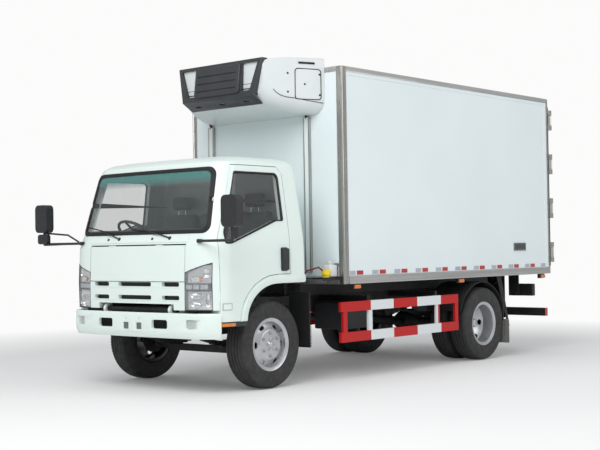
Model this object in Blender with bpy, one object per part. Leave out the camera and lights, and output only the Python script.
"""Light refrigerated truck: ladder frame, tilting cab, insulated box body and refrigeration unit.

Run with: blender --background --python part.py
Metres, +Z up. The cab faces -Y and the vehicle's left side is +X. Every size below is measured from
the ground and from the front axle. One parent empty then shifts the truck so that the middle of its
box lies over the world's origin.
"""
import math

import bmesh
import bpy
from mathutils import Matrix, Vector

# Gaps, overruns and facets
SEAT_GAP = 0.0003            # between pieces that touch
PIN_GAP = 0.0008             # around pins and spindles
DOOR_GAP = 0.006             # round doors and lids that swing
OVERRUN = 0.02               # how far a cut or a joined piece runs past a face
WELD = 0.004                 # how far joined pieces run into each other
ROUND_STEPS = 20             # facets round a tyre or rim
TUBE_SIDES = 8               # facets round a bar or tube
PIN_SIDES = 12               # facets round a pin, boss or hub

# Driving sizes
WHEELBASE = 3.365
BOX_FRONT_Y = 0.907
BOX_LENGTH = 3.97
BOX_WIDTH = 2.06
BOX_BOTTOM_Z = 0.924
BOX_HEIGHT = 2.106
BOX_REAR_Y = BOX_FRONT_Y + BOX_LENGTH
BOX_TOP_Z = BOX_BOTTOM_Z + BOX_HEIGHT
BOX_HALF = BOX_WIDTH / 2

# Tyres and rims
TYRE_RADIUS = 0.403
TYRE_HALF_WIDTH = 0.1125
TREAD_HALF_WIDTH = 0.094
CROWN_HALF_WIDTH = 0.060
SHOULDER_DROP = 0.015
BULGE_RADIUS = 0.310
BEAD_RADIUS = 0.2225
RIM_LIP_RADIUS = 0.243
RIM_HALF_WIDTH = 0.096
RIM_SEAT_HALF = 0.084
RIM_BORE_RADIUS = 0.205
RIM_WELL_HALF = 0.045
DISC_WALL = 0.012
DISC_RIM_X = 0.045           # where the front disc meets the rim, outboard of the tyre's middle
DISC_RING_X = 0.078          # the front disc's bolting ring
DISC_RING_RADIUS = 0.105
DISC_BEND_RADIUS = 0.150
HUB_RADIUS = 0.062
HUB_CAP_RADIUS = 0.045
HUB_REACH = 0.112
HUB_DEPTH = 0.030
HAND_HOLES = 6
HAND_HOLE_RADIUS = 0.022
HAND_HOLE_CIRCLE = 0.150
FRONT_TYRE_X = 0.795         # middle of the front tyre
REAR_OUTER_X = 0.935
REAR_INNER_X = 0.675
REAR_DISC_X = (REAR_OUTER_X + REAR_INNER_X) / 2
REAR_HUB_REACH = 0.120

# Ladder frame
RAIL_HALF = 0.390
RAIL_TOP_Z = 0.800
RAIL_HEIGHT = 0.170
RAIL_FLANGE = 0.060
RAIL_WALL = 0.008
RAIL_FRONT_Y = -0.785
RAIL_REAR_Y = 4.790
RAIL_BOTTOM_Z = RAIL_TOP_Z - RAIL_HEIGHT
CROSS_DEPTH = 0.060
CROSS_HEIGHT = 0.110
PIVOT_Y = -0.790             # cab tilt pivot
PIVOT_Z = 0.745
PIVOT_RADIUS = 0.022
PIVOT_HALF = 0.500
EAR_X = 0.440
EAR_WIDTH = 0.030
EAR_RADIUS = 0.045
CAB_REST_Y = 0.330
CAB_REST_WIDTH = 0.060
CAB_REST_HALF = 0.460
CROSS_SHARES = (0.03, 0.34, 0.52, 0.66, 0.83, 0.985)   # of the rails' length

# Springs and axles
SPRING_X = 0.360
SPRING_WIDTH = 0.065
SPRING_LEAF = 0.011
FRONT_LEAVES = 5
REAR_LEAVES = 7
SPRING_HALF = 0.590
CLAMP_WALL = 0.012
SPRING_EYE_RADIUS = 0.022
SPRING_EYE_Z = 0.575
HANGER_WIDTH = 0.050
HANGER_LENGTH = 0.090
AXLE_Z = TYRE_RADIUS
KINGPIN_X = 0.640
KINGPIN_RADIUS = 0.034
KINGPIN_HALF = 0.050
BEAM_HEIGHT = 0.062
BEAM_DEPTH = 0.064
BEAM_TOP_Z = 0.365
LUG_HEIGHT = 0.026
LUG_RADIUS = 0.042
SPINDLE_RADIUS = 0.026
SPINDLE_TIP_X = 0.835
BACKPLATE_RADIUS = 0.140
BACKPLATE_X = 0.690
BACKPLATE_WALL = 0.010
STEER_ARM_LENGTH = 0.170
STEER_ARM_WIDTH = 0.036
STEER_ARM_HEIGHT = 0.022
TRACK_ROD_RADIUS = 0.014
REAR_TUBE_RADIUS = 0.052
REAR_TUBE_HALF = 0.585
REAR_STUB_RADIUS = 0.036
REAR_STUB_HALF = 0.790
DIFF_RADIUS = 0.145
DIFF_HALF = 0.110
SHAFT_RADIUS = 0.038
SHAFT_FRONT_Y = 0.980
SHAFT_FRONT_Z = 0.600

# Engine, tank and battery
ENGINE_HALF = 0.300
ENGINE_FRONT_Y = -0.560
ENGINE_REAR_Y = 0.300
ENGINE_BOTTOM_Z = 0.470
ENGINE_TOP_Z = 0.985
ENGINE_MOUNT_Y = -0.300
ENGINE_MOUNT_LENGTH = 0.120
GEARBOX_HALF = 0.150
GEARBOX_REAR_Y = 0.940
GEARBOX_HEIGHT = 0.260
TANK_FRONT_Y = 1.150
TANK_LENGTH = 0.900
TANK_WIDTH = 0.440
TANK_HEIGHT = 0.330
TANK_TOP_Z = 0.728
TANK_ROUND = 0.060
BATTERY_FRONT_Y = 1.200
BATTERY_LENGTH = 0.520
BATTERY_WIDTH = 0.360
BATTERY_HEIGHT = 0.270

# Cab form
CAB_BOTTOM_Z = 0.600
CAB_TOP_Z = 2.125
CAB_FRONT_Y = -0.852
CAB_REAR_Y = 0.412
CAB_HALF = 0.985
CAB_CORNER_WIDTH = 0.280     # of the round front corners in plan
CAB_CORNER_DEPTH = 0.240
CAB_HEIGHT = CAB_TOP_Z - CAB_BOTTOM_Z
CAB_LENGTH = CAB_REAR_Y - CAB_FRONT_Y
# One row a level: height as a share of the cab's height, how far the front and the rear draw in as
# shares of its length, its half width, and the corner's width and depth as shares of those above
CAB_LEVEL_SHARES = (
    (0.000, 0.002, 0.002, 0.990, 1.000, 1.000),
    (0.131, 0.000, 0.000, 0.997, 1.000, 1.000),
    (0.262, 0.000, 0.000, 1.000, 1.000, 1.000),
    (0.459, 0.009, 0.000, 0.995, 1.000, 1.000),
    (0.498, 0.027, 0.000, 0.991, 0.982, 0.979),
    (0.538, 0.053, 0.002, 0.985, 0.929, 0.917),
    (0.721, 0.116, 0.006, 0.944, 0.821, 0.833),
    (0.918, 0.184, 0.017, 0.898, 0.714, 0.750),
    (0.954, 0.207, 0.029, 0.881, 0.714, 0.750),
    (0.980, 0.263, 0.065, 0.832, 0.714, 0.750),
    (0.993, 0.342, 0.120, 0.751, 0.714, 0.750),
    (1.000, 0.453, 0.207, 0.609, 0.714, 0.750),
)
CAB_BULGE = 0.022
BULGE_STEPS = 3
CORNER_STEPS = 6
REAR_CORNER_STEPS = 3
CAB_REAR_CORNER = 0.060
CAB_WALL = 0.055
CAB_FRONT_WALL = 0.110
CAB_FLOOR_Z = 1.010
CAB_ROOF_WALL = 0.045
UNDERFLOOR_Z = 0.960
FOOTWELL_Z = 0.690
FOOTWELL_FRONT_Y = -0.660
FOOTWELL_REAR_Y = -0.470
TUNNEL_HALF = 0.405
TUNNEL_TOP_Z = 1.090
TUNNEL_WALL = 0.020
ARCH_LENGTH = 0.400
ARCH_BASE_Z = 0.645
ARCH_HEIGHT = UNDERFLOOR_Z - ARCH_BASE_Z
ARCH_LIP = 0.085
TURN_ROOM_Y = -0.440         # room ahead of the turned front tyre, inside the skin
TURN_ROOM_Z = 0.680
TOE_Z = 0.815                # top of the opening for the rails and the cab pivot
CAB_ROWS = [                 # height, front, half width, rear, corner width, corner depth
    (CAB_BOTTOM_Z + CAB_HEIGHT * height, CAB_FRONT_Y + CAB_LENGTH * front, CAB_HALF * half,
     CAB_REAR_Y - CAB_LENGTH * rear, CAB_CORNER_WIDTH * width, CAB_CORNER_DEPTH * depth)
    for height, front, rear, half, width, depth in CAB_LEVEL_SHARES
]

# Cab doors, glass, lid, grille and lamps
DOOR_FRONT_Y = -0.700
DOOR_REAR_Y = 0.175
DOOR_BOTTOM_Z = 0.645
DOOR_WAIST_Z = 1.350
DOOR_TOP_Z = 2.025
DOOR_TOP_FRONT_Y = -0.470
DOOR_HINGE_INSET = 0.0395    # from the cab's widest part
DOOR_HINGE_X = CAB_HALF - DOOR_HINGE_INSET
DOOR_HINGE_Y = DOOR_FRONT_Y - DOOR_GAP / 2
DOOR_HINGE_SHARES = (0.25, 0.70)   # of the door's height up to its waist
DOOR_HINGE_LENGTH = 0.090
LID_HINGE_X = 0.320
FRAME_BAR = 0.062            # window frame round the door glass
WINDOW_SILL_REAR_Z = 1.530
WINDOW_SILL_FRONT_Z = 1.330
WINDOW_STEP_Y = 0.020
HANDLE_Y = 0.118
HANDLE_WIDTH = 0.034
HANDLE_LOW_Z = 1.080
HANDLE_HIGH_Z = 1.275
HANDLE_PROUD = 0.026
GLASS_WALL = 0.006
GLASS_SINK = 0.010
SCREEN_BOTTOM_Z = 1.425
SCREEN_TOP_Z = 2.005
PILLAR_BOTTOM_WIDTH = 0.135  # from the windscreen to the cab's widest part
PILLAR_TOP_WIDTH = 0.195
SCREEN_BOTTOM_HALF = CAB_HALF - PILLAR_BOTTOM_WIDTH
SCREEN_TOP_HALF = CAB_HALF - PILLAR_TOP_WIDTH
SCREEN_CORNER = 0.070
LID_INSET = 0.345
LID_HALF = CAB_HALF - LID_INSET
LID_BOTTOM_Z = 1.000
LID_TOP_Z = 1.318
LID_WALL = 0.025
LID_CREST_GAP = 0.012        # over the top edge, which rises as the lid opens
GRILLE_BOTTOM_Z = 0.800
GRILLE_DEPTH = 0.045
SLOT_HEIGHT = 0.039
SLOT_ROW_SHARES = (0.865, 0.275)   # of the panel's height
SLOT_SHARES = ((-0.90, -0.56), (-0.35, 0.35), (0.56, 0.90))   # the slots' ends, of the panel's half width
LAMP_SEAM = 0.004
LAMP_OUTER_INSET = 0.080
LAMP_INNER_X = LID_HALF + LAMP_SEAM
LAMP_OUTER_X = CAB_HALF - LAMP_OUTER_INSET
LAMP_BOTTOM_Z = 0.748
LAMP_INNER_TOP_Z = 1.078
LAMP_OUTER_TOP_Z = 1.160
LAMP_DEPTH = 0.080
LAMP_REAR_Y = DOOR_FRONT_Y - DOOR_GAP * 3

# Bumper
BUMPER_BOTTOM_Z = 0.500
BUMPER_TOP_Z = 0.722
BUMPER_PROUD = 0.040
BUMPER_SIDE_PROUD = 0.004
BUMPER_WALL = 0.028
BUMPER_REAR_Y = DOOR_FRONT_Y - DOOR_GAP * 2
BUMPER_OPENING_X = 0.365
BUMPER_OPENING_HALF = 0.100
BUMPER_OPENING_HEIGHT = 0.080
BUMPER_ARM_HALF = 0.020

# Mirrors and wipers
MIRROR_OUT = 0.292           # past the cab's widest part
MIRROR_X = CAB_HALF + MIRROR_OUT
MIRROR_Y = -0.880
MIRROR_Z = 1.598
MIRROR_WIDTH = 0.180
MIRROR_HEIGHT = 0.270
MIRROR_DEPTH = 0.085
MIRROR_ROOT_INSET = 0.185
MIRROR_ROOT_X = CAB_HALF - MIRROR_ROOT_INSET
MIRROR_ARM_Z = 1.352
MIRROR_ARM_RADIUS = 0.012
WIPER_RADIUS = 0.007
COWL_INSET = 0.190
COWL_HALF = SCREEN_BOTTOM_HALF - COWL_INSET
COWL_LOW_Z = 1.360
COWL_HIGH_Z = 1.400
COWL_PROUD = 0.008
# One row a wiper: across as shares of the screen's half width, up as shares of its height. The columns
# are the pivot across, the blade's middle across and up, and its two ends across and up
WIPER_SHARES = (
    (-0.288, -0.612, 0.052, -0.894, 0.129, -0.353, 0.000),
    (0.506, 0.153, 0.034, -0.129, 0.078, 0.435, 0.000),
)

# Cab inside
DASH_DEPTH = 0.360
DASH_INSET = 0.240           # clear of the doors' front edges, which swing inwards
DASH_HALF = CAB_HALF - DASH_INSET
DASH_STEP = 0.070            # how far the dashboard's rear edge drops
DASH_BOTTOM_Z = 1.060
DASH_TOP_Z = 1.390
DRIVER_X = -0.480
WHEEL_RING_RADIUS = 0.205
WHEEL_RING_TUBE = 0.014
WHEEL_RING_Y = -0.380
WHEEL_RING_Z = 1.430
WHEEL_RING_TILT = math.radians(-38)
COLUMN_RADIUS = 0.035
COLUMN_LENGTH = 0.340
SEAT_FRONT_Y = -0.150
SEAT_DEPTH = 0.440
SEAT_BASE_HEIGHT = 0.150
SEAT_BACK_HEIGHT = 0.560
SEAT_BACK_DEPTH = 0.110
SEAT_WIDTH = 0.440
SEAT_PITCH = 0.500
SEAT_INSET = 0.155
SEAT_HALF = CAB_HALF - SEAT_INSET       # half width of the common base
SEAT_ROUND = 0.055

# Box body
WALL = 0.080
FLOOR_THICKNESS = 0.110
ROOF_THICKNESS = 0.080
RUNNER_HALF = 0.360
RUNNER_WIDTH = 0.060
REAR_FRAME_DEPTH = 0.100
REAR_POST_WIDTH = 0.040
REAR_HEADER = 0.085
EDGE_RAIL = 0.055
EDGE_PROUD = 0.004
ROOF_CHAMFER = 0.004
CONDUIT_WIDTH = 0.075
CONDUIT_DEPTH = 0.030
CONDUIT_X = 0.600
RIGHT_CONDUIT_X = -0.730
CONDUIT_TOP_Z = 2.560
CONDUIT_BOTTOM_Z = 1.040

# Rear doors
DOOR_LEAF = 0.080
DOOR_LEAF_GAP = 0.009             # half the gap between the two leaves
HINGE_OUT = 0.020            # pin outside the side wall
HINGE_BACK = 0.030           # pin behind the leaf's face
HINGE_RADIUS = 0.011
HINGE_HEIGHT = 0.120
HINGE_COUNT = 4
STRAP_LENGTH = 0.200
STRAP_THICKNESS = 0.010
LOCK_BAR_RADIUS = 0.0125
LOCK_BAR_FROM_MIDDLE = 0.160
LOCK_BAR_OFF = 0.018
LOCK_LEVER_LENGTH = 0.330
LOCK_GUIDE_SHARES = (0.04, 0.35, 0.65, 0.96)   # of the leaf's height
LOCK_LEVER_SHARE = 0.22

# Refrigeration unit
UNIT_FRONT_Y = 0.300
UNIT_BOTTOM_Z = 2.580
UNIT_TOP_Z = 3.125
UNIT_HALF = 0.826
UNIT_REAR_GAP = 0.0006
UNIT_HEIGHT = UNIT_TOP_Z - UNIT_BOTTOM_Z
UNIT_LENGTH = BOX_FRONT_Y - UNIT_REAR_GAP - UNIT_FRONT_Y
# One row a station: distance as a share of the unit's length, its half width, and its bottom and top
# as shares of the unit's height
UNIT_STATION_SHARES = (
    (0.000, 0.678, 0.303, 0.940),
    (0.140, 0.726, 0.169, 0.954),
    (0.362, 0.805, 0.073, 0.982),
    (0.659, 0.902, 0.018, 0.994),
    (1.000, 1.000, 0.000, 1.000),
)
UNIT_ROWS = [                # distance, half width, bottom, top
    (UNIT_FRONT_Y + UNIT_LENGTH * along, UNIT_HALF * half, UNIT_BOTTOM_Z + UNIT_HEIGHT * low,
     UNIT_BOTTOM_Z + UNIT_HEIGHT * high)
    for along, half, low, high in UNIT_STATION_SHARES
]
UNIT_GRILLE_FRONT_Y = 0.232
UNIT_GRILLE_HALF = 0.577
UNIT_GRILLE_LOW_HALF = 0.486
UNIT_PANEL_HALF = 0.300
UNIT_ROUND = 0.150
UNIT_SHOULDER = 0.020
EVAPORATOR_WIDTH = 1.300
EVAPORATOR_HEIGHT = 0.220
EVAPORATOR_DEPTH = 0.520

# Side guards, mudguards and under-run bar
GUARD_X = 1.030
GUARD_FRONT_Y = 0.849
GUARD_REAR_Y = 2.861
GUARD_BOTTOM_Z = 0.362
GUARD_TOP_Z = 0.750
GUARD_RAIL = 0.095
GUARD_THICKNESS = 0.030
GUARD_POST_SHARES = (0.033, 0.229, 0.809, 0.985)   # of the guard's length
GUARD_POST_WIDTH = 0.060
GUARD_HANGER_SHARES = GUARD_POST_SHARES[1:3]
MUDGUARD_RADIUS = 0.470
MUDGUARD_WALL = 0.006
MUDGUARD_START = math.radians(20)    # where the curved sheet begins and how far it goes round
MUDGUARD_SWEEP = math.radians(140)
REAR_MUDGUARD_OUT = 0.0825           # past the middle of the outer tyre
FRONT_MUDGUARD_Y = 0.490
FRONT_MUDGUARD_OUT = 0.1425          # past the middle of the front tyre
FRONT_MUDGUARD_TOP_Z = 0.860
FRONT_STAY_Z = 0.720
STAY_RADIUS = 0.012
FRONT_FLAP_BOTTOM_Z = 0.340
REAR_FLAP_BOTTOM_Z = 0.160
UNDERRUN_Y = 4.830
UNDERRUN_HALF = 0.990
UNDERRUN_BOTTOM_Z = 0.410
UNDERRUN_HEIGHT = 0.095
UNDERRUN_DEPTH = 0.060
UNDERRUN_BRACKET_WALL = 0.020
UNDERRUN_BRACKET_LENGTH = 0.120
UNDERRUN_BRACKET_TIP = 0.030

HINGE_X = BOX_HALF + HINGE_OUT
HINGE_Y = BOX_REAR_Y + HINGE_BACK
REAR_END_Y = HINGE_Y + HINGE_RADIUS
FRONT_END_Y = MIRROR_Y - MIRROR_DEPTH / 2
MIDDLE_Y = (REAR_END_Y + FRONT_END_Y) / 2


# Making solids

def add_object(name, bm):
    """Turn a bmesh into a linked object whose faces point out."""
    bmesh.ops.recalc_face_normals(bm, faces=bm.faces)
    mesh = bpy.data.meshes.new(name)
    bm.to_mesh(mesh)
    bm.free()
    obj = bpy.data.objects.new(name, mesh)
    bpy.context.scene.collection.objects.link(obj)
    return obj


def skin(name, rings, closed=False):
    """Join rings of equal length by quads. An open run is capped at both ends."""
    bm = bmesh.new()
    rows = [[bm.verts.new(point) for point in ring] for ring in rings]
    pairs = list(zip(rows, rows[1:]))
    if closed:
        pairs.append((rows[-1], rows[0]))
    for low, high in pairs:
        for i in range(len(low)):
            j = (i + 1) % len(low)
            bm.faces.new((low[i], low[j], high[j], high[i]))
    if not closed:
        bm.faces.new(rows[0][::-1])
        bm.faces.new(rows[-1])
    return add_object(name, bm)


def prism(name, outline, axis, low, high):
    """Run a flat outline along an axis. The outline gives the other two coordinates in order."""
    rings = []
    for level in (low, high):
        if axis == "X":
            rings.append([(level, a, b) for a, b in outline])
        elif axis == "Y":
            rings.append([(a, level, b) for a, b in outline])
        else:
            rings.append([(a, b, level) for a, b in outline])
    return skin(name, rings)


def block(name, low, high):
    """A plain rectangular solid between two corners."""
    (x0, y0, z0), (x1, y1, z1) = low, high
    return prism(name, ((x0, y0), (x1, y0), (x1, y1), (x0, y1)), "Z", z0, z1)


def rounded(low, high, radius, steps=3):
    """Corner points of a rectangle with round corners, in the outline's own two coordinates."""
    points = []
    corners = (
        (high[0] - radius, high[1] - radius, 0.0),
        (low[0] + radius, high[1] - radius, 0.5),
        (low[0] + radius, low[1] + radius, 1.0),
        (high[0] - radius, low[1] + radius, 1.5),
    )
    for a, b, half_turn_share in corners:
        for step in range(steps + 1):
            angle = math.pi * (half_turn_share + step / steps / 2)
            points.append((a + radius * math.cos(angle), b + radius * math.sin(angle)))
    return points


def bar(name, start, end, radius, sides=TUBE_SIDES):
    """A round bar between two points."""
    start, end = Vector(start), Vector(end)
    turn = (end - start).to_track_quat("Z", "Y").to_matrix()
    rings = []
    for centre in (start, end):
        rings.append([centre + turn @ Vector((
            radius * math.cos(math.tau * i / sides),
            radius * math.sin(math.tau * i / sides), 0)) for i in range(sides)])
    return skin(name, rings)


def turned(name, profile, y, z, steps=ROUND_STEPS, ring=False, start_share=0.0):
    """Turn a profile of (distance along X, radius) about a line along X.

    A ring's profile is a closed loop. Otherwise its two ends lie on the axis. The first facet
    starts the given share of a facet round from level.
    """
    bm = bmesh.new()
    rows = []
    for x, radius in profile:
        if radius == 0:
            rows.append([bm.verts.new((x, y, z))])
            continue
        rows.append([bm.verts.new((
            x,
            y + radius * math.cos(math.tau * (i + start_share) / steps),
            z + radius * math.sin(math.tau * (i + start_share) / steps))) for i in range(steps)])
    pairs = list(zip(rows, rows[1:]))
    if ring:
        pairs.append((rows[-1], rows[0]))
    for low, high in pairs:
        for i in range(steps):
            j = (i + 1) % steps
            corners = [low[i % len(low)], low[j % len(low)], high[j % len(high)], high[i % len(high)]]
            bm.faces.new(list(dict.fromkeys(corners)))
    return add_object(name, bm)


def pipe(name, points, radius, sides=8):
    """A tube along a bent line, as a curve with a round bevel and filled caps."""
    curve = bpy.data.curves.new(name, "CURVE")
    curve.dimensions = "3D"
    curve.bevel_depth = radius
    curve.bevel_resolution = sides // 4
    curve.use_fill_caps = True
    spline = curve.splines.new("POLY")
    spline.points.add(len(points) - 1)
    for place, point in zip(spline.points, points):
        place.co = (*point, 1)
    drawn = bpy.data.objects.new(name, curve)
    bpy.context.scene.collection.objects.link(drawn)
    mesh = evaluated_mesh(drawn)
    bpy.data.objects.remove(drawn)
    bm = bmesh.new()
    bm.from_mesh(mesh)
    bmesh.ops.remove_doubles(bm, verts=bm.verts, dist=radius / 1000)
    return add_object(name, bm)


def evaluated_mesh(obj):
    """The object's mesh with its modifiers worked out."""
    bpy.context.view_layer.update()
    graph = bpy.context.evaluated_depsgraph_get()
    return bpy.data.meshes.new_from_object(obj.evaluated_get(graph))


def combine(base, tools, operation):
    """Join, cut or intersect with each tool in turn, and remove the tools."""
    for tool in tools:
        change = base.modifiers.new(operation.title(), "BOOLEAN")
        change.operation = operation
        change.solver = "EXACT"
        change.object = tool
        base.data = evaluated_mesh(base)
        base.modifiers.clear()
        bpy.data.objects.remove(tool)
    return base


def join(base, *tools):
    return combine(base, tools, "UNION")


def cut(base, *tools):
    return combine(base, tools, "DIFFERENCE")


def keep(base, *tools):
    return combine(base, tools, "INTERSECT")


def mirrored(obj, name):
    """A copy on the other side of the truck."""
    bm = bmesh.new()
    bm.from_mesh(obj.data)
    bmesh.ops.scale(bm, vec=(-1, 1, 1), verts=bm.verts)
    return add_object(name, bm)


def smooth(obj, degrees=35):
    """Shade a round piece smooth, with its sharp edges kept."""
    obj.data.shade_smooth()
    obj.data.set_sharp_from_angle(angle=math.radians(degrees))
    return obj


def paint(obj, colour, roughness=0.5, metallic=0.0, alpha=1.0):
    """Give a piece a material of its own."""
    material = bpy.data.materials.new(obj.name)
    material.use_nodes = True
    shader = material.node_tree.nodes["Principled BSDF"]
    shader.inputs["Base Color"].default_value = (*colour, 1)
    shader.inputs["Roughness"].default_value = roughness
    shader.inputs["Metallic"].default_value = metallic
    shader.inputs["Alpha"].default_value = alpha
    obj.data.materials.clear()
    obj.data.materials.append(material)
    return obj


WHITE = (0.80, 0.84, 0.83)
BOX_WHITE = (0.86, 0.88, 0.88)
BLACK = (0.02, 0.02, 0.022)
DARK_STEEL = (0.035, 0.035, 0.038)
RUBBER = (0.018, 0.018, 0.019)
SILVER = (0.62, 0.63, 0.65)
STAINLESS = (0.55, 0.55, 0.54)
RED = (0.52, 0.035, 0.035)
GLASS = (0.55, 0.62, 0.60)
GREY_CLOTH = (0.33, 0.34, 0.35)
LAMP_CLEAR = (0.75, 0.77, 0.78)


# Wheels

def tyre_profile(x):
    """A tyre whose beads sit on the rim, as a closed ring profile. The tread's grooves are not cut."""
    half = (
        (RIM_SEAT_HALF - SEAT_GAP, BEAD_RADIUS + SEAT_GAP),
        (RIM_SEAT_HALF - SEAT_GAP, RIM_LIP_RADIUS + SEAT_GAP),
        (RIM_HALF_WIDTH + WELD, RIM_LIP_RADIUS + WELD),
        (TYRE_HALF_WIDTH, BULGE_RADIUS),
        (TREAD_HALF_WIDTH, TYRE_RADIUS - SHOULDER_DROP),
        (CROWN_HALF_WIDTH, TYRE_RADIUS),
    )
    return [(x + a, r) for a, r in half] + [(x - a, r) for a, r in reversed(half)]


def rim_barrel(x):
    """The rolled rim: lips and bead seats round a straight bore, as a closed ring profile."""
    right = (
        (RIM_HALF_WIDTH, RIM_BORE_RADIUS),
        (RIM_HALF_WIDTH, RIM_LIP_RADIUS),
        (RIM_SEAT_HALF, RIM_LIP_RADIUS),
        (RIM_SEAT_HALF, BEAD_RADIUS),
    )
    return [(x + a, r) for a, r in right] + [(x - a, r) for a, r in reversed(right)]


def hand_holes(x_low, x_high, y):
    """Round cutters through a wheel disc."""
    cutters = []
    for i in range(HAND_HOLES):
        angle = math.tau * (i + 0.5) / HAND_HOLES
        centre = (y + HAND_HOLE_CIRCLE * math.cos(angle), AXLE_Z + HAND_HOLE_CIRCLE * math.sin(angle))
        cutters.append(bar("hole", (x_low, *centre), (x_high, *centre), HAND_HOLE_RADIUS, 6))
    return cutters


def front_rim(name):
    """Rolled rim, bulging disc with hand holes, and the hub with its blind bore and cap."""
    x = FRONT_TYRE_X
    rim = turned(name, rim_barrel(x), 0, AXLE_Z, ring=True)
    disc_edge_radius = RIM_BORE_RADIUS + WELD * 2
    bore = SPINDLE_RADIUS + PIN_GAP
    disc = turned("disc", [
        (x + HUB_REACH, 0),
        (x + HUB_REACH, HUB_CAP_RADIUS),
        (x + DISC_RING_X + DISC_WALL, HUB_RADIUS),
        (x + DISC_RING_X + DISC_WALL, DISC_RING_RADIUS),
        (x + DISC_RIM_X, disc_edge_radius),
        (x + DISC_RIM_X - DISC_WALL, disc_edge_radius),
        (x + DISC_RING_X, DISC_RING_RADIUS - DISC_WALL),
        (x - HUB_DEPTH, HUB_RADIUS),
        (x - HUB_DEPTH, bore),
        (SPINDLE_TIP_X + DOOR_GAP, bore),
        (SPINDLE_TIP_X + DOOR_GAP, 0),
    ], 0, AXLE_Z, start_share=0.5)
    cut(disc, *hand_holes(x - HUB_DEPTH, x + HUB_REACH, 0))
    return join(rim, disc)


def rear_rims(name):
    """Two rims back to back on one hub."""
    y = WHEELBASE
    outer = turned(name, rim_barrel(REAR_OUTER_X), y, AXLE_Z, ring=True)
    inner = turned("inner", rim_barrel(REAR_INNER_X), y, AXLE_Z, ring=True)
    edge = RIM_BORE_RADIUS + WELD * 2
    edge_out_x = REAR_OUTER_X - RIM_WELL_HALF
    edge_in_x = REAR_INNER_X + RIM_WELL_HALF
    bore = REAR_STUB_RADIUS + PIN_GAP
    core = turned("core", [
        (REAR_DISC_X + REAR_HUB_REACH, 0),
        (REAR_DISC_X + REAR_HUB_REACH, HUB_CAP_RADIUS),
        (REAR_DISC_X + REAR_HUB_REACH - DISC_WALL, HUB_RADIUS),
        (REAR_DISC_X + DISC_WALL, HUB_RADIUS),
        (REAR_DISC_X + DISC_WALL, DISC_RING_RADIUS),
        (edge_out_x, edge),
        (edge_out_x - DISC_WALL, edge),
        (REAR_DISC_X, DISC_RING_RADIUS + DISC_WALL),
        (edge_in_x + DISC_WALL, edge),
        (edge_in_x, edge),
        (REAR_DISC_X - DISC_WALL, DISC_RING_RADIUS),
        (REAR_DISC_X - DISC_WALL, HUB_RADIUS),
        (REAR_TUBE_HALF + DOOR_GAP, HUB_RADIUS),
        (REAR_TUBE_HALF + DOOR_GAP, bore),
        (REAR_STUB_HALF + DOOR_GAP, bore),
        (REAR_STUB_HALF + DOOR_GAP, 0),
    ], y, AXLE_Z, start_share=0.5)
    cut(core, *hand_holes(edge_in_x - OVERRUN, edge_out_x + OVERRUN, y))
    return join(outer, core, inner)


# Frame, springs and axles

def rail_outline(side):
    """A channel that opens towards the middle of the truck."""
    outer = RAIL_HALF * side
    web = (RAIL_HALF - RAIL_WALL) * side
    lip = (RAIL_HALF - RAIL_FLANGE) * side
    return (
        (outer, RAIL_BOTTOM_Z), (outer, RAIL_TOP_Z), (lip, RAIL_TOP_Z), (lip, RAIL_TOP_Z - RAIL_WALL),
        (web, RAIL_TOP_Z - RAIL_WALL), (web, RAIL_BOTTOM_Z + RAIL_WALL),
        (lip, RAIL_BOTTOM_Z + RAIL_WALL), (lip, RAIL_BOTTOM_Z),
    )


def spring_hanger(side, y):
    """A bracket that hangs from the rail and meets the spring's eye."""
    x = SPRING_X * side
    low_z = SPRING_EYE_Z + SPRING_EYE_RADIUS + SEAT_GAP
    high_z = RAIL_BOTTOM_Z + RAIL_WALL / 2
    half = HANGER_LENGTH / 2
    return prism("hanger", (
        (y - half, high_z), (y + half, high_z), (y + half / 2, low_z), (y - half / 2, low_z),
    ), "X", x - HANGER_WIDTH / 2, x + HANGER_WIDTH / 2)


def ladder_frame():
    """Two rails, their cross members, spring hangers, cab pivot and rear cab rest."""
    frame = prism("ladder_frame", rail_outline(1), "Y", RAIL_FRONT_Y, RAIL_REAR_Y)
    pieces = [prism("rail", rail_outline(-1), "Y", RAIL_FRONT_Y, RAIL_REAR_Y)]
    inside = RAIL_HALF - RAIL_WALL / 2
    middle_z = (RAIL_TOP_Z + RAIL_BOTTOM_Z) / 2
    for share in CROSS_SHARES:
        y = RAIL_FRONT_Y + (RAIL_REAR_Y - RAIL_FRONT_Y) * share
        pieces.append(block("cross", (-inside, y - CROSS_DEPTH / 2, middle_z - CROSS_HEIGHT / 2),
                            (inside, y + CROSS_DEPTH / 2, middle_z + CROSS_HEIGHT / 2)))
    for axle_y in (0, WHEELBASE):
        for end in (-1, 1):
            for side in (-1, 1):
                pieces.append(spring_hanger(side, axle_y + SPRING_HALF * end))
    pieces.append(bar("pivot", (-PIVOT_HALF, PIVOT_Y, PIVOT_Z), (PIVOT_HALF, PIVOT_Y, PIVOT_Z),
                      PIVOT_RADIUS, PIN_SIDES))
    for side in (-1, 1):
        x = sorted((side * (RAIL_HALF - WELD), side * (CAB_REST_HALF - CAB_REST_WIDTH)))
        pieces.append(block("leg", (x[0], CAB_REST_Y, RAIL_BOTTOM_Z + RAIL_WALL),
                            (x[1], CAB_REST_Y + CAB_REST_WIDTH, UNDERFLOOR_Z - SEAT_GAP)))
    pieces.append(block("rest", (-CAB_REST_HALF, CAB_REST_Y, RAIL_TOP_Z + CAB_REST_WIDTH),
                        (CAB_REST_HALF, CAB_REST_Y + CAB_REST_WIDTH, UNDERFLOOR_Z - SEAT_GAP)))
    return paint(join(frame, *pieces), DARK_STEEL, 0.6, 0.3)


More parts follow.
